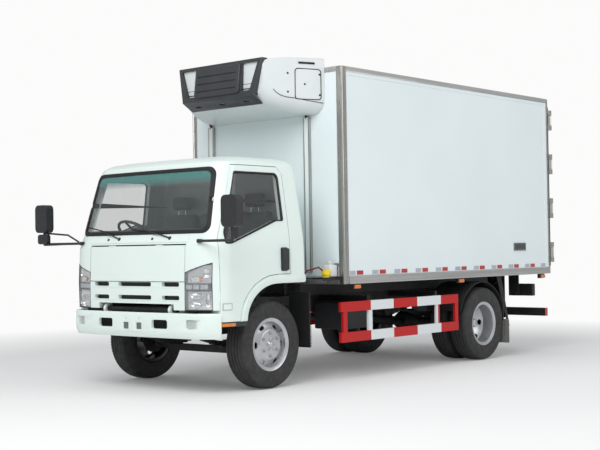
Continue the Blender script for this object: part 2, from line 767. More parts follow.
def leaf_spring(side, y, leaves, bottom_z):
    """A pack of leaves, longest on top, whose middle sits on the axle at bottom_z."""
    top_middle_z = bottom_z + leaves * SPRING_LEAF
    rise = SPRING_EYE_Z - top_middle_z
    points = []
    stations = 8
    for i in range(stations + 1):
        share = 2 * i / stations - 1
        points.append((y + SPRING_HALF * share, top_middle_z + rise * share * share))
    for leaf in range(1, leaves + 1):
        length_share = 1 - (leaf - 1) / leaves
        z = top_middle_z + rise * length_share * length_share
        points.append((y + SPRING_HALF * length_share, z - SPRING_LEAF * leaf))
        if leaf < leaves:
            next_share = 1 - leaf / leaves
            z = top_middle_z + rise * next_share * next_share
            points.append((y + SPRING_HALF * next_share, z - SPRING_LEAF * leaf))
    mirror = [(2 * y - a, b) for a, b in reversed(points[stations + 1:])]
    x = SPRING_X * side
    spring = prism("spring", points + mirror, "X", x - SPRING_WIDTH / 2, x + SPRING_WIDTH / 2)
    eyes = []
    for end in (-1, 1):
        place = (y + SPRING_HALF * end, SPRING_EYE_Z)
        eyes.append(bar("eye", (x - SPRING_WIDTH / 2 + WELD, *place),
                        (x + SPRING_WIDTH / 2 - WELD, *place), SPRING_EYE_RADIUS, 8))
    half = SPRING_WIDTH / 2 + CLAMP_WALL
    clamp = block("clamp", (x - half, y - half, bottom_z), (x + half, y + half, top_middle_z + CLAMP_WALL))
    return join(spring, clamp, *eyes)


def front_axle():
    """A dropped I-beam with a boss for each kingpin and a spring on each side."""
    low_z = BEAM_TOP_Z - BEAM_HEIGHT
    top = (
        (KINGPIN_X - KINGPIN_RADIUS / 2, AXLE_Z + KINGPIN_HALF * 0.6),
        (SPRING_X + SPRING_WIDTH, BEAM_TOP_Z), (-SPRING_X - SPRING_WIDTH, BEAM_TOP_Z),
        (-KINGPIN_X + KINGPIN_RADIUS / 2, AXLE_Z + KINGPIN_HALF * 0.6),
        (-KINGPIN_X + KINGPIN_RADIUS / 2, AXLE_Z - KINGPIN_HALF * 0.6),
        (-SPRING_X - SPRING_WIDTH, low_z), (SPRING_X + SPRING_WIDTH, low_z),
        (KINGPIN_X - KINGPIN_RADIUS / 2, AXLE_Z - KINGPIN_HALF * 0.6),
    )
    axle = prism("front_axle", top, "Y", -BEAM_DEPTH / 2, BEAM_DEPTH / 2)
    pieces = []
    for side in (-1, 1):
        x = KINGPIN_X * side
        pieces.append(bar("boss", (x, 0, AXLE_Z - KINGPIN_HALF), (x, 0, AXLE_Z + KINGPIN_HALF),
                          KINGPIN_RADIUS, PIN_SIDES))
        pieces.append(leaf_spring(side, 0, FRONT_LEAVES, BEAM_TOP_Z - WELD))
    return paint(join(axle, *pieces), DARK_STEEL, 0.55, 0.4)


def rear_axle():
    """Banjo housing with its stubs, springs and propeller shaft."""
    y = WHEELBASE
    axle = turned("rear_axle", [
        (-REAR_STUB_HALF, 0), (-REAR_STUB_HALF, REAR_STUB_RADIUS), (-REAR_TUBE_HALF, REAR_STUB_RADIUS),
        (-REAR_TUBE_HALF, REAR_TUBE_RADIUS), (-DIFF_RADIUS - DIFF_HALF / 2, REAR_TUBE_RADIUS),
        (-DIFF_HALF, DIFF_RADIUS * 0.8), (-DIFF_HALF / 2, DIFF_RADIUS), (DIFF_HALF / 2, DIFF_RADIUS),
        (DIFF_HALF, DIFF_RADIUS * 0.8), (DIFF_RADIUS + DIFF_HALF / 2, REAR_TUBE_RADIUS),
        (REAR_TUBE_HALF, REAR_TUBE_RADIUS), (REAR_TUBE_HALF, REAR_STUB_RADIUS),
        (REAR_STUB_HALF, REAR_STUB_RADIUS), (REAR_STUB_HALF, 0),
    ], y, AXLE_Z, steps=PIN_SIDES)
    seat_z = AXLE_Z + REAR_TUBE_RADIUS - WELD
    pieces = [leaf_spring(side, y, REAR_LEAVES, seat_z) for side in (-1, 1)]
    pieces.append(bar("shaft", (0, SHAFT_FRONT_Y, SHAFT_FRONT_Z), (0, y, AXLE_Z), SHAFT_RADIUS, TUBE_SIDES))
    return paint(smooth(join(axle, *pieces)), DARK_STEEL, 0.55, 0.4)


def engine_block():
    """Engine and gearbox as one plain block with a stepped outline."""
    low_z = ENGINE_BOTTOM_Z
    engine = prism("engine_block", rounded((-ENGINE_HALF, low_z), (ENGINE_HALF, ENGINE_TOP_Z),
                                           TANK_ROUND), "Y", ENGINE_FRONT_Y, ENGINE_REAR_Y)
    gearbox = prism("gearbox", rounded((-GEARBOX_HALF, low_z + TANK_ROUND),
                                       (GEARBOX_HALF, low_z + TANK_ROUND + GEARBOX_HEIGHT),
                                       TANK_ROUND), "Y", ENGINE_REAR_Y - OVERRUN, GEARBOX_REAR_Y)
    mounts = []
    for side in (-1, 1):
        x = sorted(((ENGINE_HALF - OVERRUN) * side, (RAIL_HALF - RAIL_FLANGE - SEAT_GAP) * side))
        mounts.append(block("mount", (x[0], ENGINE_MOUNT_Y, RAIL_BOTTOM_Z),
                            (x[1], ENGINE_MOUNT_Y + ENGINE_MOUNT_LENGTH, RAIL_TOP_Z)))
    return paint(join(engine, gearbox, *mounts), DARK_STEEL, 0.6, 0.5)


def knuckle():
    """Left steering knuckle: forked lugs round the beam's boss, spindle, back plate and arm."""
    top_z = AXLE_Z + KINGPIN_HALF + PIN_GAP
    low_z = AXLE_Z - KINGPIN_HALF - PIN_GAP
    inner_x = KINGPIN_X + KINGPIN_RADIUS + DOOR_GAP
    body = block("knuckle_left", (inner_x, -STEER_ARM_WIDTH, low_z - LUG_HEIGHT),
                 (BACKPLATE_X + WELD, STEER_ARM_WIDTH, top_z + LUG_HEIGHT))
    pieces = []
    for low, high in ((top_z, top_z + LUG_HEIGHT), (low_z - LUG_HEIGHT, low_z)):
        pieces.append(bar("lug", (KINGPIN_X, 0, low), (KINGPIN_X, 0, high), LUG_RADIUS, PIN_SIDES))
        pieces.append(block("web", (KINGPIN_X, -STEER_ARM_WIDTH + WELD, low),
                            (BACKPLATE_X, STEER_ARM_WIDTH - WELD, high)))
    pieces.append(bar("spindle", (BACKPLATE_X, 0, AXLE_Z), (SPINDLE_TIP_X, 0, AXLE_Z),
                      SPINDLE_RADIUS, ROUND_STEPS))
    pieces.append(bar("plate", (BACKPLATE_X, 0, AXLE_Z), (BACKPLATE_X + BACKPLATE_WALL, 0, AXLE_Z),
                      BACKPLATE_RADIUS, ROUND_STEPS))
    arm_z = low_z - LUG_HEIGHT
    pieces.append(block("arm", (KINGPIN_X - STEER_ARM_WIDTH / 2, 0, arm_z - STEER_ARM_HEIGHT + WELD),
                        (KINGPIN_X + STEER_ARM_WIDTH / 2, STEER_ARM_LENGTH + STEER_ARM_WIDTH / 2,
                         arm_z + WELD)))
    return join(body, *pieces)


def track_rod():
    """The rod that joins the two steering arms, just under them."""
    z = rod_z()
    eye = STEER_ARM_WIDTH / 2
    rod = bar("track_rod", (-KINGPIN_X, STEER_ARM_LENGTH, z), (KINGPIN_X, STEER_ARM_LENGTH, z),
              TRACK_ROD_RADIUS)
    eyes = [bar("eye", (x, STEER_ARM_LENGTH, z - TRACK_ROD_RADIUS), (x, STEER_ARM_LENGTH,
            z + TRACK_ROD_RADIUS + WELD / 2), eye, PIN_SIDES) for x in (-KINGPIN_X, KINGPIN_X)]
    return paint(join(rod, *eyes), DARK_STEEL, 0.5, 0.5)


def rod_z():
    """Height of the track rod's middle."""
    arm_bottom_z = AXLE_Z - KINGPIN_HALF - PIN_GAP - LUG_HEIGHT - STEER_ARM_HEIGHT + WELD
    return arm_bottom_z - PIN_GAP - WELD / 2 - TRACK_ROD_RADIUS


def fuel_tank():
    """A rounded tank strapped to the right rail."""
    outer_x = -(RAIL_HALF + SEAT_GAP)
    return paint(prism("fuel_tank", rounded((outer_x - TANK_WIDTH, TANK_TOP_Z - TANK_HEIGHT),
                                            (outer_x, TANK_TOP_Z), TANK_ROUND), "Y",
                       TANK_FRONT_Y, TANK_FRONT_Y + TANK_LENGTH), DARK_STEEL, 0.45, 0.3)


def battery_box():
    """A covered battery box on the left rail."""
    inner_x = RAIL_HALF + SEAT_GAP
    box = block("battery_box", (inner_x, BATTERY_FRONT_Y, TANK_TOP_Z - BATTERY_HEIGHT),
                (inner_x + BATTERY_WIDTH, BATTERY_FRONT_Y + BATTERY_LENGTH, TANK_TOP_Z))
    bevel = box.modifiers.new("Bevel", "BEVEL")
    bevel.width = TANK_ROUND / 4
    bevel.segments = 2
    return paint(box, BLACK, 0.6)


# Cab

def front_line(row, inset, front_inset, end_y=None):
    """The left half of one level's front in plan: a bulge, then a corner as far back as end_y."""
    _, front, half, _, corner_x, corner_y = row
    front += front_inset
    flat = half - inset - corner_x
    turn = math.pi / 2
    if end_y is not None:
        turn = math.acos(1 - (end_y - front - CAB_BULGE) / corner_y)
    points = []
    for i in range(BULGE_STEPS):
        share = i / BULGE_STEPS
        points.append((flat * share, front + CAB_BULGE * share * share))
    for i in range(CORNER_STEPS + 1):
        angle = turn * i / CORNER_STEPS
        points.append((flat + corner_x * math.sin(angle),
                       front + CAB_BULGE + corner_y * (1 - math.cos(angle))))
    return points


def cab_ring(row, inset, front_inset):
    """One level of the cab in plan: bulged front, round corners, straight sides."""
    z, _, half, rear, _, _ = row
    half -= inset
    rear -= inset
    side = front_line(row, inset, front_inset)
    for i in range(REAR_CORNER_STEPS + 1):
        angle = math.pi / 2 * i / REAR_CORNER_STEPS
        side.append((half - CAB_REAR_CORNER * (1 - math.cos(angle)),
                     rear - CAB_REAR_CORNER * (1 - math.sin(angle))))
    left = [(x, y, z) for x, y in side]
    right = [(-x, y, z) for x, y in reversed(side) if x > 0]
    return left + right


def cab_form(name, inset, bottom_z, front_inset=None, top_inset=None):
    """The cab's outer form, drawn in by an inset, from bottom_z up to the roof."""
    front_inset = inset if front_inset is None else front_inset
    top_inset = inset if top_inset is None else top_inset
    rows = [(bottom_z, *CAB_ROWS[0][1:])]
    rows += [row for row in CAB_ROWS if row[0] > bottom_z + WELD and row[0] < CAB_TOP_Z - top_inset]
    rows.append((CAB_TOP_Z - top_inset, *CAB_ROWS[-1][1:]) if top_inset < CAB_TOP_Z - rows[-1][0]
                else rows[-1])
    clean = []
    for row in rows:
        if not clean or row[0] > clean[-1][0]:
            clean.append(row)
    return skin(name, [cab_ring(row, inset, front_inset) for row in clean])


def arch_curve(grow, steps=7):
    """The wheel arch's front quarter and level top, from its foot to the cab's rear, as (y, z)."""
    points = []
    for i in range(steps + 1):
        angle = math.pi / 2 * i / steps
        points.append((-(ARCH_LENGTH + grow) * math.cos(angle),
                       ARCH_BASE_Z + (ARCH_HEIGHT + grow) * math.sin(angle)))
    return points


def door_outline(grow):
    """The left door in side view, from its front foot round to the arch."""
    lip = ARCH_LIP - grow
    curve = [(y, z) for y, z in arch_curve(lip) if y < DOOR_REAR_Y + grow]
    points = [(DOOR_FRONT_Y - grow, DOOR_BOTTOM_Z - grow)]
    foot_y = curve[0][0]
    points.append((foot_y, DOOR_BOTTOM_Z - grow))
    points += [(y, z) for y, z in curve if z > DOOR_BOTTOM_Z]
    points.append((DOOR_REAR_Y + grow, curve[-1][1]))
    points.append((DOOR_REAR_Y + grow, DOOR_TOP_Z - FRAME_BAR))
    points.append((DOOR_REAR_Y - FRAME_BAR, DOOR_TOP_Z + grow))
    points.append((DOOR_TOP_FRONT_Y, DOOR_TOP_Z + grow))
    points.append((DOOR_FRONT_Y - grow, DOOR_WAIST_Z))
    return points


def window_outline(shrink):
    """The door's glass in side view."""
    rear_y = DOOR_REAR_Y - FRAME_BAR - shrink
    top_z = DOOR_TOP_Z - FRAME_BAR - shrink
    front_foot = DOOR_FRONT_Y + FRAME_BAR + shrink
    return [
        (front_foot, WINDOW_SILL_FRONT_Z + shrink),
        (front_foot + FRAME_BAR, WINDOW_SILL_FRONT_Z + shrink),
        (WINDOW_STEP_Y, WINDOW_SILL_REAR_Z + shrink),
        (rear_y, WINDOW_SILL_REAR_Z + shrink),
        (rear_y, top_z - FRAME_BAR / 2),
        (rear_y - FRAME_BAR / 2, top_z),
        (DOOR_TOP_FRONT_Y + FRAME_BAR / 3 + shrink, top_z),
        (front_foot, WINDOW_SILL_FRONT_Z + FRAME_BAR * 1.6),
    ]


def screen_outline(shrink):
    """The windscreen seen from the front."""
    low, high = SCREEN_BOTTOM_HALF - shrink, SCREEN_TOP_HALF - shrink
    bottom, top = SCREEN_BOTTOM_Z + shrink, SCREEN_TOP_Z - shrink
    cut_corner = SCREEN_CORNER
    return [
        (-low + cut_corner, bottom), (low - cut_corner, bottom), (low, bottom + cut_corner),
        (high, top - cut_corner), (high - cut_corner, top), (-high + cut_corner, top),
        (-high, top - cut_corner), (-low, bottom + cut_corner),
    ]


def front_y(x, z):
    """Where the cab's front surface lies at a given place and height."""
    low, high = next((a, b) for a, b in zip(CAB_ROWS, CAB_ROWS[1:]) if a[0] <= z <= b[0])
    share = (z - low[0]) / (high[0] - low[0])
    _, front, half, _, corner_x, corner_y = (a + (b - a) * share for a, b in zip(low, high))
    flat = half - corner_x
    if abs(x) <= flat:
        return front + CAB_BULGE * (x / flat) ** 2
    turn = math.asin(min((abs(x) - flat) / corner_x, 1))
    return front + CAB_BULGE + corner_y * (1 - math.cos(turn))


def off_cab(piece):
    """Trim a piece so that it sits on the cab's skin."""
    return cut(piece, cab_form("skin", -SEAT_GAP, CAB_BOTTOM_Z, top_inset=0))


def from_front(name, outline, depth, grow=0.0, rear_y=CAB_FRONT_Y + DASH_DEPTH):
    """A piece of the cab's front, with the cab's own curve outside and the given depth."""
    piece = prism(name, outline, "Y", CAB_FRONT_Y - OVERRUN, rear_y)
    if grow == 0:
        keep(piece, cab_form("form", 0, CAB_BOTTOM_Z - OVERRUN))
    return cut(piece, cab_form("back", depth, CAB_BOTTOM_Z - OVERRUN * 2, top_inset=CAB_ROOF_WALL))


def from_side(name, outline, thickness, sink=0.0):
    """A piece of the cab's left side, with the cab's own curve outside."""
    piece = prism(name, outline, "X", CAB_HALF / 2, CAB_HALF + OVERRUN)
    keep(piece, cab_form("form", sink, CAB_BOTTOM_Z - OVERRUN))
    return cut(piece, cab_form("back", sink + thickness, CAB_BOTTOM_Z - OVERRUN * 2))


def lid_outline():
    return [(-LID_HALF, LID_BOTTOM_Z), (LID_HALF, LID_BOTTOM_Z), (LID_HALF, LID_TOP_Z), (-LID_HALF, LID_TOP_Z)]


def lid_bed_outline():
    """The lid's seam: wide over the top edge, with a lug left down to each hinge barrel."""
    half, lug_half = LID_HALF + DOOR_GAP, DOOR_HINGE_LENGTH / 2
    lug_z, crest_z = LID_TOP_Z + DOOR_GAP, LID_TOP_Z + LID_CREST_GAP
    points = [(-half, crest_z), (-half, LID_BOTTOM_Z - DOOR_GAP), (half, LID_BOTTOM_Z - DOOR_GAP), (half, crest_z)]
    for x in (LID_HINGE_X, -LID_HINGE_X):
        points += [(x + lug_half, crest_z), (x + lug_half, lug_z), (x - lug_half, lug_z), (x - lug_half, crest_z)]
    return points


def grille_outline(grow):
    high_z = LID_BOTTOM_Z - DOOR_GAP - SEAT_GAP
    return [(-LID_HALF - grow, GRILLE_BOTTOM_Z - grow), (LID_HALF + grow, GRILLE_BOTTOM_Z - grow),
            (LID_HALF + grow, high_z + grow), (-LID_HALF - grow, high_z + grow)]


def lamp_outline(grow):
    return [(LAMP_INNER_X - grow, LAMP_BOTTOM_Z - grow), (LAMP_OUTER_X + grow, LAMP_BOTTOM_Z - grow),
            (LAMP_OUTER_X + grow, LAMP_OUTER_TOP_Z + grow), (LAMP_INNER_X - grow, LAMP_INNER_TOP_Z + grow)]


def flipped(outline):
    return [(-x, z) for x, z in reversed(outline)]


def cab_shell():
    """The cab's hollow body with its floor, tunnel, arches, door openings and windows."""
    cab = cab_form("cab_shell", 0, CAB_BOTTOM_Z)
    wide = CAB_HALF + OVERRUN
    cut(cab, cab_form("room", CAB_WALL, CAB_FLOOR_Z, front_inset=CAB_FRONT_WALL, top_inset=CAB_ROOF_WALL))
    under = arch_curve(0)
    under += [(CAB_REAR_Y + OVERRUN, UNDERFLOOR_Z), (CAB_REAR_Y + OVERRUN, CAB_BOTTOM_Z - OVERRUN),
              (-ARCH_LENGTH, CAB_BOTTOM_Z - OVERRUN)]
    cut(cab, prism("under", under, "X", -wide, wide))
    foot = ((FOOTWELL_FRONT_Y, FOOTWELL_Z), (FOOTWELL_REAR_Y, FOOTWELL_Z),
            (FOOTWELL_REAR_Y, CAB_FLOOR_Z + WELD), (FOOTWELL_FRONT_Y, CAB_FLOOR_Z + WELD))
    inner = TUNNEL_HALF + TUNNEL_WALL
    for low, high in ((inner, CAB_HALF - CAB_WALL), (-CAB_HALF + CAB_WALL, -inner)):
        cut(cab, prism("foot", foot, "X", low, high))
    cover = block("cover", (-inner, CAB_FRONT_Y + CAB_FRONT_WALL - WELD, UNDERFLOOR_Z + WELD),
                  (inner, CAB_REAR_Y - CAB_WALL + WELD, TUNNEL_TOP_Z + TUNNEL_WALL))
    join(cab, cover)
    cut(cab, block("tunnel", (-TUNNEL_HALF, CAB_FRONT_Y + CAB_FRONT_WALL, CAB_BOTTOM_Z - OVERRUN),
                   (TUNNEL_HALF, CAB_REAR_Y + OVERRUN, TUNNEL_TOP_Z)))
    for low, high in ((CAB_HALF / 2, wide), (-wide, -CAB_HALF / 2)):
        cut(cab, prism("doorway", door_outline(DOOR_GAP), "X", low, high))
    cut(cab, prism("screen", screen_outline(0), "Y", CAB_FRONT_Y - OVERRUN, CAB_FRONT_Y + DASH_DEPTH * 2))
    cut(cab, from_front("lid_bed", lid_bed_outline(), LID_WALL + DOOR_GAP, DOOR_GAP))
    cut(cab, from_front("grille_bed", grille_outline(SEAT_GAP), GRILLE_DEPTH + SEAT_GAP, SEAT_GAP))
    for outline in (lamp_outline(SEAT_GAP), flipped(lamp_outline(SEAT_GAP))):
        cut(cab, from_front("lamp_bed", outline, LAMP_DEPTH + SEAT_GAP, SEAT_GAP, LAMP_REAR_Y + SEAT_GAP))
    toe = CAB_FRONT_Y + CAB_FRONT_WALL
    cut(cab, block("toe", (-wide, CAB_FRONT_Y - OVERRUN, CAB_BOTTOM_Z - OVERRUN),
                   (wide, BUMPER_REAR_Y + DOOR_GAP, LAMP_BOTTOM_Z - SEAT_GAP)))
    cut(cab, block("pivot_room", (-PIVOT_HALF - DOOR_GAP, CAB_FRONT_Y - OVERRUN, CAB_BOTTOM_Z - OVERRUN),
                   (PIVOT_HALF + DOOR_GAP, toe, TOE_Z)))
    inner_half = CAB_HALF - CAB_WALL
    cut(cab, block("turn_room", (-inner_half, TURN_ROOM_Y, CAB_BOTTOM_Z - OVERRUN),
                   (inner_half, 0, TURN_ROOM_Z)))
    ears = []
    for side in (-1, 1):
        x = EAR_X * side
        ears.append(bar("ear", (x - EAR_WIDTH / 2, PIVOT_Y, PIVOT_Z), (x + EAR_WIDTH / 2, PIVOT_Y, PIVOT_Z),
                        EAR_RADIUS, PIN_SIDES))
        ears.append(block("web", (x - EAR_WIDTH / 2, PIVOT_Y, PIVOT_Z), (x + EAR_WIDTH / 2, toe + WELD,
                          TOE_Z + EAR_RADIUS / 2)))
    join(cab, *ears)
    cut(cab, bar("bore", (-PIVOT_HALF, PIVOT_Y, PIVOT_Z), (PIVOT_HALF, PIVOT_Y, PIVOT_Z),
                 PIVOT_RADIUS + PIN_GAP, PIN_SIDES))
    return paint(smooth(cab), WHITE, 0.25)


def cab_door():
    """Left door: the cab's own skin, with its window cut and a pull handle."""
    door = from_side("cab_door_left", door_outline(0), CAB_WALL)
    cut(door, prism("window", window_outline(0), "X", CAB_HALF / 2, CAB_HALF + OVERRUN))
    handle = prism("handle", rounded((HANDLE_Y - HANDLE_WIDTH / 2, HANDLE_LOW_Z),
                                     (HANDLE_Y + HANDLE_WIDTH / 2, HANDLE_HIGH_Z), HANDLE_WIDTH / 3), "X",
                   CAB_HALF - CAB_WALL / 2, CAB_HALF + HANDLE_PROUD)
    radius = DOOR_GAP / 2 - SEAT_GAP
    pins = []
    for share in DOOR_HINGE_SHARES:
        z = DOOR_BOTTOM_Z + (DOOR_WAIST_Z - DOOR_BOTTOM_Z) * share
        high_z = z + DOOR_HINGE_LENGTH
        pins.append(bar("pin", (DOOR_HINGE_X, DOOR_HINGE_Y, z), (DOOR_HINGE_X, DOOR_HINGE_Y, high_z), radius))
        pins.append(block("web", (DOOR_HINGE_X - radius - WELD, DOOR_HINGE_Y, z + SEAT_GAP),
                          (DOOR_HINGE_X, DOOR_FRONT_Y + WELD, high_z - SEAT_GAP)))
    return paint(smooth(join(door, handle, *pins)), WHITE, 0.25)


def door_glass():
    """Left door's glass, set in the window's edge."""
    return paint(from_side("door_glass_left", window_outline(SEAT_GAP), GLASS_WALL, GLASS_SINK),
                 GLASS, 0.05, 0.0, 0.35)


def windscreen():
    glass = prism("windscreen", screen_outline(SEAT_GAP), "Y", CAB_FRONT_Y - OVERRUN,
                  CAB_FRONT_Y + DASH_DEPTH * 2)
    keep(glass, cab_form("form", 0, CAB_BOTTOM_Z))
    cut(glass, cab_form("back", GLASS_WALL, CAB_BOTTOM_Z - OVERRUN))
    return paint(glass, GLASS, 0.05, 0.0, 0.35)


def grille():
    """Front panel with two rows of slots."""
    panel = from_front("grille", grille_outline(0), GRILLE_DEPTH)
    corner = SLOT_HEIGHT / 3
    for row_share in SLOT_ROW_SHARES:
        z = GRILLE_BOTTOM_Z + (LID_BOTTOM_Z - GRILLE_BOTTOM_Z) * row_share
        for low_share, high_share in SLOT_SHARES:
            low = (LID_HALF * low_share, z - SLOT_HEIGHT / 2)
            high = (LID_HALF * high_share, z + SLOT_HEIGHT / 2)
            cut(panel, prism("slot", rounded(low, high, corner), "Y", CAB_FRONT_Y - OVERRUN,
                             CAB_FRONT_Y + DASH_DEPTH))
    return paint(panel, WHITE, 0.25)


def bumper_ring(z, proud):
    """The bumper in plan at one height: the cab's front line pushed out, with its inner line."""
    row = next(row for row in CAB_ROWS if row[0] > BUMPER_TOP_Z)
    outer = front_line(row, -BUMPER_SIDE_PROUD, -proud, BUMPER_REAR_Y)
    inner = front_line(row, BUMPER_WALL - BUMPER_SIDE_PROUD, BUMPER_WALL - proud, BUMPER_REAR_Y)
    points = []
    for line in (outer, inner[::-1]):
        half = [(x, y, z) for x, y in line]
        other = [(-x, y, z) for x, y in line[::-1] if x > 0]
        points += other + half if line is outer else half + other
    return points


def bumper():
    """A moulded bumper with air openings and fog lamp recesses, held to the rails by two arms."""
    height = BUMPER_TOP_Z - BUMPER_BOTTOM_Z
    shell = skin("bumper", [
        bumper_ring(BUMPER_BOTTOM_Z, BUMPER_PROUD * 0.4),
        bumper_ring(BUMPER_BOTTOM_Z + height * 0.25, BUMPER_PROUD),
        bumper_ring(BUMPER_TOP_Z - height * 0.08, BUMPER_PROUD),
        bumper_ring(BUMPER_TOP_Z, BUMPER_PROUD * 0.75),
    ])
    middle_z = BUMPER_BOTTOM_Z + height * 0.55
    tools = []
    for x in (-BUMPER_OPENING_X, BUMPER_OPENING_X):
        tools.append(prism("opening", rounded((x - BUMPER_OPENING_HALF, middle_z - BUMPER_OPENING_HEIGHT / 2),
                                              (x + BUMPER_OPENING_HALF, middle_z + BUMPER_OPENING_HEIGHT / 2),
                                              BUMPER_OPENING_HEIGHT / 4), "Y",
                           CAB_FRONT_Y - BUMPER_PROUD * 2, CAB_FRONT_Y + DASH_DEPTH))
    cut(shell, *tools)
    arm_z = BUMPER_TOP_Z - RAIL_FLANGE / 2
    arms = []
    for side in (-1, 1):
        x = sorted((RAIL_HALF * side, (RAIL_HALF - RAIL_FLANGE / 2) * side))
        front = CAB_FRONT_Y - BUMPER_PROUD + BUMPER_WALL / 2
        arms.append(block("arm", (x[0], front, arm_z - BUMPER_ARM_HALF),
                          (x[1], RAIL_FRONT_Y - SEAT_GAP, arm_z + BUMPER_ARM_HALF)))
    return paint(smooth(join(shell, *arms)), WHITE, 0.3)


def headlamp():
    """Left headlamp: one body as deep as its reflector housing."""
    lamp = from_front("headlamp_left", lamp_outline(0), LAMP_DEPTH, rear_y=LAMP_REAR_Y)
    return paint(lamp, LAMP_CLEAR, 0.08, 0.2)


def front_lid():
    """The lid above the grille, with two hinge barrels along its top edge."""
    lid = from_front("front_lid", lid_outline(), LID_WALL)
    barrels = []
    for x in (-LID_HINGE_X, LID_HINGE_X):
        half = DOOR_HINGE_LENGTH / 2
        place = (lid_hinge_y(), LID_TOP_Z)
        barrels.append(bar("barrel", (x - half, *place), (x + half, *place), DOOR_GAP - SEAT_GAP))
    return paint(join(lid, *barrels), WHITE, 0.25)


def lid_hinge_y():
    """The lid turns about a line just behind its outer skin."""
    return front_y(LID_HINGE_X, LID_TOP_Z) + PIN_GAP


def mirror():
    """Left mirror: arm from the screen corner, upright stem and a deep oblong head."""
    head = prism("mirror_left", rounded((MIRROR_X - MIRROR_WIDTH / 2, MIRROR_Z - MIRROR_HEIGHT / 2),
                                        (MIRROR_X + MIRROR_WIDTH / 2, MIRROR_Z + MIRROR_HEIGHT / 2),
                                        MIRROR_WIDTH / 4), "Y", MIRROR_Y - MIRROR_DEPTH / 2,
                 MIRROR_Y + MIRROR_DEPTH / 2)
    root_y = front_y(MIRROR_ROOT_X, MIRROR_ARM_Z)
    bend_y = root_y - MIRROR_ARM_RADIUS * 2
    stem = bar("stem", (MIRROR_X, MIRROR_Y, MIRROR_ARM_Z - MIRROR_ARM_RADIUS), (MIRROR_X, MIRROR_Y, MIRROR_Z),
               MIRROR_ARM_RADIUS)
    arm = bar("arm", (MIRROR_ROOT_X, bend_y, MIRROR_ARM_Z), (MIRROR_X, MIRROR_Y, MIRROR_ARM_Z),
              MIRROR_ARM_RADIUS)
    foot = bar("foot", (MIRROR_ROOT_X, bend_y - MIRROR_ARM_RADIUS, MIRROR_ARM_Z),
               (MIRROR_ROOT_X, root_y + OVERRUN, MIRROR_ARM_Z), MIRROR_ARM_RADIUS * 1.5)
    return off_cab(join(head, stem, arm, foot))


def wipers():
    """Cowl strip under the windscreen with both wipers lying on it."""
    strip = prism("wipers", ((-COWL_HALF, COWL_LOW_Z), (COWL_HALF, COWL_LOW_Z), (COWL_HALF, COWL_HIGH_Z),
                             (-COWL_HALF, COWL_HIGH_Z)), "Y", CAB_FRONT_Y - OVERRUN, CAB_FRONT_Y + DASH_DEPTH)
    keep(strip, cab_form("form", -COWL_PROUD, CAB_BOTTOM_Z, top_inset=0))
    rods = []
    lift = WIPER_RADIUS * 1.4
    height = SCREEN_TOP_Z - SCREEN_BOTTOM_Z
    for pivot_share, *blade_shares in WIPER_SHARES:
        pivot = (SCREEN_BOTTOM_HALF * pivot_share, (COWL_LOW_Z + COWL_HIGH_Z) / 2)
        middle, low_end, high_end = [
            (SCREEN_BOTTOM_HALF * across, SCREEN_BOTTOM_Z + height * up)
            for across, up in zip(blade_shares[0::2], blade_shares[1::2])]
        for points in ((pivot, middle), (low_end, middle, high_end)):
            rods.append(pipe("rod", [(x, front_y(x, z) - lift, z) for x, z in points], WIPER_RADIUS))
    return paint(off_cab(join(strip, *rods)), BLACK, 0.5)


def dashboard():
    """Dashboard with the binnacle, steering column and steering wheel on the right-hand side."""
    low_y = CAB_FRONT_Y + CAB_FRONT_WALL
    outline = ((low_y, DASH_BOTTOM_Z + DASH_STEP), (low_y, DASH_TOP_Z - DASH_STEP / 3),
               (low_y + DASH_DEPTH * 0.45, DASH_TOP_Z), (low_y + DASH_DEPTH, DASH_TOP_Z - DASH_STEP),
               (low_y + DASH_DEPTH * 0.8, DASH_BOTTOM_Z + DASH_STEP))
    dash = prism("dashboard", outline, "X", -DASH_HALF, DASH_HALF)
    keep(dash, cab_form("room", CAB_WALL + SEAT_GAP, CAB_FLOOR_Z, front_inset=CAB_FRONT_WALL + SEAT_GAP))
    hub = Vector((DRIVER_X, WHEEL_RING_Y, WHEEL_RING_Z))
    lean = Matrix.Rotation(WHEEL_RING_TILT, 3, "X")
    axis = lean @ Vector((0, 0, 1))
    column = bar("column", hub - axis * COLUMN_LENGTH, hub + axis * WHEEL_RING_TUBE, COLUMN_RADIUS)
    rings = []
    for i in range(ROUND_STEPS):
        angle = math.tau * i / ROUND_STEPS
        out = Vector((math.cos(angle), math.sin(angle), 0))
        ring = []
        for k in range(6):
            turn = math.tau * k / 6
            ring.append(hub + lean @ (out * (WHEEL_RING_RADIUS + WHEEL_RING_TUBE * math.cos(turn))
                                      + Vector((0, 0, WHEEL_RING_TUBE * math.sin(turn)))))
        rings.append(ring)
    wheel = skin("wheel", rings, closed=True)
    spokes = []
    for angle in (0, math.pi, -math.pi / 2):
        out = lean @ Vector((math.cos(angle), math.sin(angle), 0))
        spokes.append(bar("spoke", hub, hub + out * WHEEL_RING_RADIUS, WHEEL_RING_TUBE * 0.8, 6))
    return paint(join(dash, column, *spokes, wheel), BLACK, 0.6)


